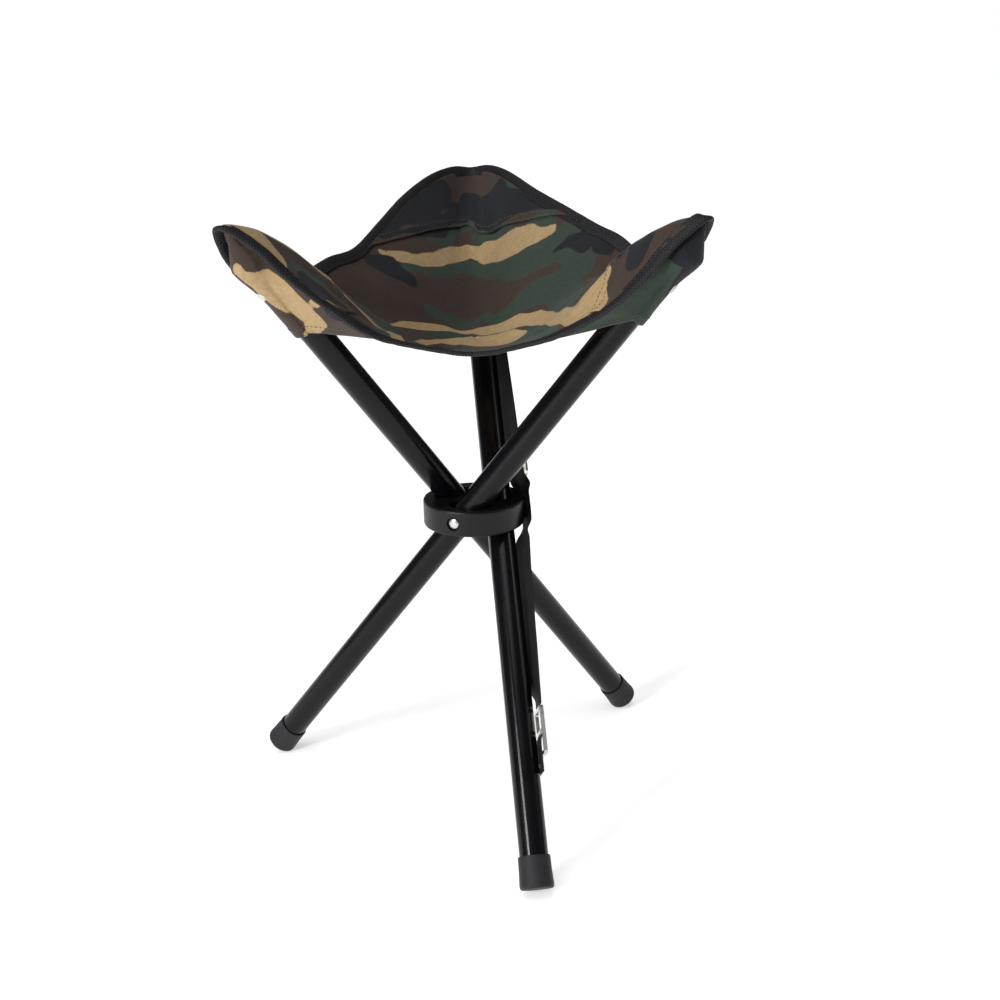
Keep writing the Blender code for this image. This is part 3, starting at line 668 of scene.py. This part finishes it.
def edge_frames(first, last, count):
    """The edge's points, with directions inwards across the cloth and off its surface."""
    frames = []
    for k in range(count + 1):
        place = first + (last - first) * k / count
        here = along_ray(ray_points(place), 1.0)
        step = 0.004
        round_it = along_ray(ray_points(place + step), 1.0) - along_ray(ray_points(place - step), 1.0)
        inner = along_ray(ray_points(place), 0.955)
        up_way = (here - inner).cross(round_it).normalized()
        inward = round_it.cross(up_way).normalized()
        if inward.dot(inner - here) < 0:
            inward = -inward
        frames.append((place, here, inward, up_way))
    return frames


def swept(name, rings):
    """A closed skin through rings of points, with both ends capped."""
    bm = bmesh.new()
    uv_layer = bm.loops.layers.uv.new("cut")
    lines = [[bm.verts.new(p) for p in ring] for ring in rings]
    travelled = [0.0]
    for a, b in zip(rings, rings[1:]):
        travelled.append(travelled[-1] + (b[0] - a[0]).length)
    around = [0.0]
    for a, b in zip(rings[0], rings[0][1:] + rings[0][:1]):
        around.append(around[-1] + (b - a).length)
    n = len(lines[0])
    for k in range(len(lines) - 1):
        for i in range(n):
            j = (i + 1) % n
            face = bm.faces.new((lines[k][i], lines[k][j], lines[k + 1][j], lines[k + 1][i]))
            face.smooth = True
            spots = ((travelled[k], around[i]), (travelled[k], around[i + 1]),
                     (travelled[k + 1], around[i + 1]), (travelled[k + 1], around[i]))
            for loop, spot in zip(face.loops, spots):
                loop[uv_layer].uv = spot
    bm.faces.new(lines[0][::-1])
    bm.faces.new(lines[-1])
    bmesh.ops.recalc_face_normals(bm, faces=bm.faces)
    return object_from(bm, name)


def woven_black(name, colour, roughness, threads, cross_threads, gaps, painted_hollow_shade, painted_crown_highlight):
    """Tape or webbing with threads in its own two directions, with painted shade in the hollows between them
    and a painted highlight on the raised threads. gaps are the weave heights where the painted shade ends
    and the painted highlight begins."""
    paint, tree, bsdf = new_material(name, colour, roughness)
    bsdf.inputs["Specular IOR Level"].default_value = 0.3
    place = add_node(tree, "ShaderNodeUVMap", uv_map="cut")
    woven = add_node(tree, "ShaderNodeGroup", node_tree=weave_group)
    tree.links.new(place.outputs[0], woven.inputs["Vector"])
    woven.inputs["Threads"].default_value = threads
    woven.inputs["Cross Threads"].default_value = cross_threads
    # Painted shade where the weave is low and a painted highlight where it is raised.
    share = ramp(tree, woven.outputs["Height"], *gaps)
    tree.links.new(blend_colours(tree, share, painted_hollow_shade, painted_crown_highlight), bsdf.inputs["Base Color"])
    raised = add_node(tree, "ShaderNodeBump", {"Strength": 0.7, "Distance": 0.0006,
                                               "Height": woven.outputs["Height"]})
    tree.links.new(raised.outputs[0], bsdf.inputs["Normal"])
    return paint


# The last two colours are painted shade for the weave's hollows and a painted highlight for its ribs.
tape_paint = woven_black("ribbed_tape", (0.0105, 0.0095, 0.0115), 0.6, 2500.0, 1500.0, (0.1, 0.8),
                         (0.0022, 0.002, 0.0026), (0.021, 0.019, 0.023))
black_thread = handled("black_thread", (0.014, 0.013, 0.015), (0.03, 0.028, 0.03), 0.6, 3000.0, 0.4)
olive_thread = handled("olive_thread", (0.075, 0.075, 0.050), (0.11, 0.105, 0.07), 0.65, 3000.0, 0.4)


# One stitch: places along it, as shares of its length, with its thickness and its height in radii there
STITCH = [(-0.5, 0.35, -0.9), (-0.3, 1.0, -0.1), (0.0, 1.0, 0.15), (0.3, 1.0, -0.1), (0.5, 0.35, -0.9)]


def stitch_line(name, spots, paint, pitch=0.0034, length=0.0023, radius=0.00028):
    """A row of small rounded stitches along spots of (point, off the cloth)."""
    bm = bmesh.new()
    gone = 0.0
    for (a, up_a), (b, _) in zip(spots, spots[1:]):
        gone += (b - a).length
        if gone < pitch:
            continue
        gone = 0.0
        way = (b - a).normalized()
        across = way.cross(up_a).normalized()
        up_way = across.cross(way)
        rings = []
        for share, thick, rise in STITCH:
            middle = a + way * (share * length) + up_way * (rise * radius)
            ring = []
            for i in range(6):
                turn = math.radians(60 * i)
                off = across * math.cos(turn) + up_way * math.sin(turn)
                ring.append(bm.verts.new(middle + off * (thick * radius)))
            rings.append(ring)
        for low, high in zip(rings, rings[1:]):
            for i in range(6):
                face = bm.faces.new((low[i], low[(i + 1) % 6], high[(i + 1) % 6], high[i]))
                face.smooth = True
        bm.faces.new(rings[0][::-1])
        bm.faces.new(rings[-1])
    bmesh.ops.recalc_face_normals(bm, faces=bm.faces)
    obj = object_from(bm, name)
    obj.data.materials.append(paint)
    return obj


trims = {corner: [] for corner in CORNERS}
for corner, (place, _) in CORNERS.items():
    for edge, turn in zip(NEXT_SIDE[corner], (-1, 1)):
        frames = edge_frames(place + turn * TAPE_END, place + turn * 0.5, TAPE_STEPS)
        rings, line = [], []
        for at, here, inward, up_way in frames:
            waver = TAPE_WAVER * noise.noise((at * 60, 7.1, 0.0)) + 0.12 * noise.noise((at * 210, 3.3, 0.0))
            swell = 1 + TAPE_SWELL * noise.noise((at * 95, 0.4, 5.0))
            rise = TAPE_RISE * noise.noise((at * 38, 2.0, 0.0))
            ring = []
            for inset, off in TAPE_SECTION:
                inset += waver * (1 if inset > 2 else 0.4)
                p = here + inward * (inset * 0.001) + up_way * ((off * swell + rise) * 0.001)
                ring.append(HUB + p)
            rings.append(ring)
            off = (TAPE_SEAM_OFF * swell + rise) * 0.001
            line.append((HUB + here + inward * TAPE_SEAM_IN + up_way * off, up_way))
        tape = swept(f"edge_binding_{edge}_{corner}", rings)
        tape.data.materials.append(tape_paint)
        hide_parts(f"edge_binding_{edge}")
        stitches = stitch_line(f"binding_stitches_{edge}_{corner}", line, black_thread)
        for piece in (tape, stitches):
            bend_with_leg(piece)
            trims[corner].append(piece)


# ---- The corner patches ----
# A second layer of the same canvas lies on top of each corner, turned under along its hem and
# sewn down with two rows of thread. It is caught in the binding at both sides.

PATCH_REACH = {"left": 0.118, "right": 0.127, "rear": 0.137}  # from the hub's axis to the hem's middle
HEM_SLOPE = {"left": 0.25, "right": 0.25, "rear": 1.05}  # how much the hem falls back to each side
PATCH_SPREAD = {"left": 0.25, "right": 0.25, "rear": 0.43}
PATCH_LIFT = 0.00135
PATCH_THICK = 0.0009
PATCH_STEPS = 60
PATCH_ROWS = 36
HEM_WIDTH = 0.0085
HEM_RISE = 0.00035
HEM_ROWS = {"lower": 0.0015, "upper": 0.0072}  # the two rows of stitches, in from the hem


def hem_heights(corner, rows):
    """The t values from the hem across a corner to the tape."""
    way = corner_way[corner]
    side_way = Vector((0, 0, 1)).cross(way)

    def heights(points, place):
        low, high = 0.2, 1.0
        for _ in range(26):
            t = (low + high) / 2
            p = along_ray(points, t)
            sideways = math.hypot(p.dot(side_way), 0.004) - 0.004
            if p.dot(way) + HEM_SLOPE[corner] * sideways < PATCH_REACH[corner]:
                low = t
            else:
                high = t
        edge = under_tape(points, SEAM_INSET)
        start = min(low, edge - 0.002)
        return [start + (edge - start) * (j / rows) ** 1.15 for j in range(rows + 1)]

    return heights


for corner, (place, _) in CORNERS.items():
    spread = PATCH_SPREAD[corner]
    grid, up, places, steps = sling_grid(place - spread, place + spread, PATCH_STEPS,
                                         hem_heights(corner, PATCH_ROWS), PATCH_LIFT)
    band = []
    for row, normals, ts in zip(grid, up, steps):
        out_of_hem = np.linalg.norm(row - row[0], axis=1)
        ridge = HEM_RISE * (1 - np.clip((out_of_hem - HEM_WIDTH) / 0.0012, 0, 1))
        for inset in HEM_ROWS.values():
            ridge += -0.0002 * np.exp(-((out_of_hem - inset) / 0.0007) ** 2)
        band.append(ridge)
    grid = grid + up * np.array(band)[..., None]
    uvs = [[tuple(flat_point(p, t)) for t in ts] for p, ts in zip(places, steps)]
    patch = cloth_mesh(f"patch_{corner}", in_place(grid), up, PATCH_THICK, uvs, print_of(grid))
    patch.data.materials.append(canvas)
    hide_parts(f"corner_patch_{corner}")
    bend_with_leg(patch)
    for row_name, inset in HEM_ROWS.items():
        spots = []
        for row, normals in zip(grid, up):
            reach = np.linalg.norm(row - row[0], axis=1)
            j = int(np.argmin(abs(reach - inset)))
            spots.append((HUB + Vector(row[j]) + Vector(normals[j]) * 0.00058, Vector(normals[j])))
        fine = []
        for (a, n), (b, _) in zip(spots, spots[1:]):
            fine += [(a.lerp(b, s / 8), n) for s in range(8)]
        stitches = stitch_line(f"patch_stitches_{row_name}_{corner}", fine, olive_thread)
        bend_with_leg(stitches)
        trims[corner].append(stitches)

for corner, kite in kites.items():
    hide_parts("seat_panel")
    bend_with_leg(kite)


# ---- The pockets ----
# Under each corner a canvas pocket is sewn into the binding at both sides, with its open hem towards
# the hub. The tube's end goes into it, and a rivet through the tube's wall holds it there.

POCKET_LENGTH = 0.107
POCKET_HEM = {"left": 0.212, "right": 0.220, "rear": 0.214}
POCKET_TOP = 0.306
POCKET_DROP = 0.0023
POCKET_R = 0.0128
POCKET_BULGE = 0.35
POCKET_THICK = 0.001
POCKET_ROWS, POCKET_COLUMNS = 40, 52
POCKET_TOP_SPREAD = 0.012
POCKET_PRINT = {  # across the tube and up it, in millimetres, for tan, green and black
    "left": ([[(-4, 282, 4), (-9, 268, 8), (-14, 254, 10), (-20, 238, 11), (-22, 222, 10), (-12, 212, 6)],
              [(-44, 244, 3), (-36, 238, 4)],
              [(30, 236, 6), (40, 220, 5)]],
             [[(14, 250, 8), (24, 236, 8)]],
             [[(4, 256, 6), (6, 276, 6)], [(-56, 222, 5), (-44, 226, 4)], [(44, 208, 5), (54, 212, 6)]]),
    # The right pocket's broad black shapes are partly its print and partly painted shade, for the shade that
    # side lies in.
    "right": ([[(-44, 236, 4), (-30, 246, 4)]],
              [[(14, 262, 20), (26, 240, 26), (34, 222, 30)], [(-20, 216, 8), (-4, 228, 8)]],
              [[(0, 300, 15), (24, 286, 15), (42, 272, 13)], [(2, 250, 6), (4, 276, 9)],
               [(-50, 214, 8), (-36, 220, 7)]]),
    "rear": ([[(-40, 214, 6), (-22, 226, 7)], [(20, 250, 6), (32, 236, 6)]],
             [[(-10, 240, 9), (6, 256, 8)], [(30, 214, 9), (48, 210, 7)]],
             [[(0, 214, 7), (14, 226, 7)], [(-34, 244, 7), (-24, 262, 7)]]),
}


def leg_frame(corner):
    """X outward along the pin, Z up the tube, at the pivot."""
    azimuth = math.radians(PIN_AZIMUTH[corner])
    out_way = Vector((math.cos(azimuth), math.sin(azimuth), 0))
    along = Vector((0, 0, math.cos(LEG_TILT))) + Vector((0, 0, 1)).cross(out_way) * math.sin(LEG_TILT)
    turn = Matrix((out_way, along.cross(out_way), along)).transposed().to_4x4()
    return Matrix.Translation(HUB + out_way * AXIS_OFFSET) @ turn


def pocket_seam(at, into):
    """Where a pocket is sewn under the sling, at a place round the edge, in its leg's frame."""
    points = ray_points(at)
    t = under_tape(points, SEAM_INSET)
    p = along_ray(points, t)
    side = along_ray(ray_points(at + 0.01), t) - along_ray(ray_points(at - 0.01), t)
    n = (p - along_ray(points, t - 0.01)).cross(side).normalized()
    return into @ (HUB + p - n * (CANVAS / 2 + POCKET_DROP))


def pocket_shape(corner, into):
    """The pocket's smooth shape in its leg's frame: each column runs from the tip down to the hem. It goes
    from the seam at one side, round the tube, to the seam at the other."""
    place = CORNERS[corner][0]
    hem = POCKET_LENGTH / math.cos(math.radians(30)) / FLAT_SIDE
    angles = [math.radians(a) for a in (205, 225, 247, 270, 293, 315, 335)]
    grid = np.zeros((POCKET_COLUMNS + 1, POCKET_ROWS + 1, 3))
    for j in range(POCKET_ROWS + 1):
        part = j / POCKET_ROWS
        spread = POCKET_TOP_SPREAD + (hem - POCKET_TOP_SPREAD) * part ** 1.1
        ends = [pocket_seam(at, into) for at in (place - spread, place + spread)]
        ends.sort(key=lambda p: p.x)
        level = POCKET_TOP + (POCKET_HEM[corner] - POCKET_TOP) * part
        bulge = 1 + POCKET_BULGE * math.exp(-((part - 0.28) / 0.2) ** 2)
        radius = POCKET_R * min(1.0, 0.15 + 3.2 * part) * bulge
        ring = [Vector((radius * math.cos(a), -radius * math.sin(a), level)) for a in angles]
        path = [ends[0], ends[0].lerp(ring[0], 0.5), *ring, ends[1].lerp(ring[-1], 0.5), ends[1]]
        for i in range(POCKET_COLUMNS + 1):
            grid[i, j] = spline(path, i / POCKET_COLUMNS * (len(path) - 1), False)
    return grid


def outward_normals(grid):
    up = np.cross(np.gradient(grid, axis=0), np.gradient(grid, axis=1))
    up /= np.maximum(np.linalg.norm(up, axis=2, keepdims=True), 1e-12)
    return -up if up[POCKET_COLUMNS // 2, POCKET_ROWS // 2, 1] < 0 else up


def pocket_relief(grid, corner):
    """How far loose ripples and the turned hem stand off the pocket's smooth shape."""
    relief = np.zeros(grid.shape[:2])
    for i in range(POCKET_COLUMNS + 1):
        for j in range(POCKET_ROWS + 1):
            x, _, z = 1000 * grid[i, j]
            loose = min(1.0, abs(x) / 14) * min(1.0, i / 5) * min(1.0, (POCKET_COLUMNS - i) / 5)
            ripple = 0.8 * noise.noise((x / 14, z / 22, CORNERS[corner][0] + 2.5))
            ripple += 0.5 * math.exp(-((z - 232 + 0.35 * abs(x)) / 4) ** 2)
            from_hem = abs(z - 1000 * POCKET_HEM[corner])
            relief[i, j] = 0.001 * loose * max(-0.3, ripple)
            relief[i, j] += 0.0003 * (1 - min(1.0, max(0.0, (from_hem - 8.5) / 1.2)))
    return relief


for corner in CORNERS:
    leg = leg_frame(corner)
    grid = pocket_shape(corner, leg.inverted())
    up = outward_normals(grid)
    grid = grid + up * pocket_relief(grid, corner)[..., None]
    uvs = [[(p[0], p[2]) for p in row] for row in grid]
    prints = [[camo_fields(1000 * p[0], 1000 * p[2], POCKET_PRINT[corner]) for p in row] for row in grid]
    turn = np.array(leg.to_3x3())
    world_grid = grid @ turn.T + np.array(leg.translation)
    world_up = up @ turn.T
    pocket = cloth_mesh(f"pocket_{corner}", world_grid, world_up, POCKET_THICK, uvs, prints)
    bm = bmesh.new()
    bm.from_mesh(pocket.data)
    bmesh.ops.recalc_face_normals(bm, faces=bm.faces)
    bm.to_mesh(pocket.data)
    bm.free()
    pocket.data.materials.append(canvas)
    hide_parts(f"corner_pocket_{corner}")
    bend_with_leg(pocket)
    spots = []
    row = POCKET_ROWS - 3
    for i in range(POCKET_COLUMNS):
        a, b, n = (Vector(v) for v in (world_grid[i, row], world_grid[i + 1, row], world_up[i, row]))
        spots += [(a.lerp(b, s / 10) + n * 0.0006, n) for s in range(10)]
    stitches = stitch_line(f"pocket_stitches_{corner}", spots, olive_thread)
    bend_with_leg(stitches)


# ---- The carry strap ----
# A length of 25 mm black webbing lies down the outer side of the rear tube. Its upper end is riveted to
# the tube, it passes a flat slider, and its lower end loops through a double steel loop on a riveted tab.

STRAP_WIDTH = 0.025
STRAP_THICK = 0.0016
STRAP_ROUTE = [
    (0.197, 0.0124), (0.178, 0.0124), (0.160, 0.0160), (0.144, 0.0183), (0.100, 0.0200), (0.068, 0.0210),
    (0.033, 0.0220), (0.016, 0.0224), (0.0, 0.0225), (-0.016, 0.0222), (-0.035, 0.0207), (-0.066, 0.0192),
    (-0.100, 0.0182), (-0.140, 0.0170), (-0.1664, 0.0156),
]
TAB_ROUTE = [(-0.1900, 0.0146), (-0.196, 0.0125), (-0.2185, 0.0123)]
rear = leg_frame("rear")

# The last two colours are painted shade for the weave's hollows and a painted highlight for its threads.
web_paint = woven_black("black_webbing", (0.0105, 0.0105, 0.012), 0.72, 2400.0, 3600.0, (0.0, 0.9),
                        (0.0022, 0.0022, 0.0028), (0.013, 0.013, 0.015))


STRAP_TURN, TURN_AT_HUB = 20, 8
STRAP_CLOSER = 0.0042


def eased(share):
    """A share from 0 to 1 that starts and stops softly."""
    share = min(1.0, max(0.0, share))
    return share * share * (3 - 2 * share)


def strap_twist(z):
    """The loose strap's turn round its own length, in degrees, and how much closer it lies than its route,
    at a place up the tube. It passes the hub flatter and farther out, and is held square at both ends."""
    end = eased((0.175 - z) / 0.03) if z > 0 else eased((0.162 + z) / 0.016)
    past_hub = eased((z - 0.008) / 0.010) if z > 0 else eased((-z - 0.0215) / 0.010)
    clear = eased((abs(z) - 0.0145) / 0.012)
    return (TURN_AT_HUB + (STRAP_TURN - TURN_AT_HUB) * past_hub) * end, STRAP_CLOSER * clear * end


def webbing(name, route, steps=10):
    """A woven strip with thick rounded edges, along a route of (place up the tube, distance out)."""
    points = [Vector((out, 0.0, z)) for z, out in route]
    count = steps * (len(points) - 1)
    line = [spline(points, k / steps, False) for k in range(count + 1)]
    half, thick = STRAP_WIDTH / 2, STRAP_THICK / 2
    section = []
    for y in (-0.93, -0.8, -0.5, -0.2, 0.2, 0.5, 0.8, 0.93):
        section.append((y * half, thick * (0.86 if abs(y) < 0.75 else 1.0)))
    section += [(half, thick * 0.45), (half, -thick * 0.45)]
    section += [(y, -off) for y, off in reversed(section[:8])]
    section += [(-half, -thick * 0.45), (-half, thick * 0.45)]
    rings = []
    for k, p in enumerate(line):
        way = (line[min(k + 1, count)] - line[max(k - 1, 0)]).normalized()
        off_way = Vector((0, 1, 0)).cross(way).normalized()
        if off_way.x < 0:
            off_way = -off_way
        ripple = 0.00012 * noise.noise((p.z * 70, 0.3, 9.0))
        twist, closer = strap_twist(p.z)
        middle = p - off_way * closer
        turn = Matrix.Rotation(math.radians(-twist), 3, way)
        ring = [middle + turn @ (Vector((0, y, 0)) + off_way * (off + ripple)) for y, off in section]
        rings.append([rear @ p for p in ring])
    obj = swept(name, rings)
    obj.data.materials.append(web_paint)
    return obj


strap = webbing("strap_webbing", STRAP_ROUTE)
tab = webbing("tab_webbing", TAB_ROUTE, 14)
for piece, node in ((strap, "carry_strap"), (tab, "strap_tab")):
    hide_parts(node)
    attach(piece, "leg_rear")
for name in ("strap_buckle", "strap_slider"):
    refinish(name, plated)


bpy.context.view_layer.update()
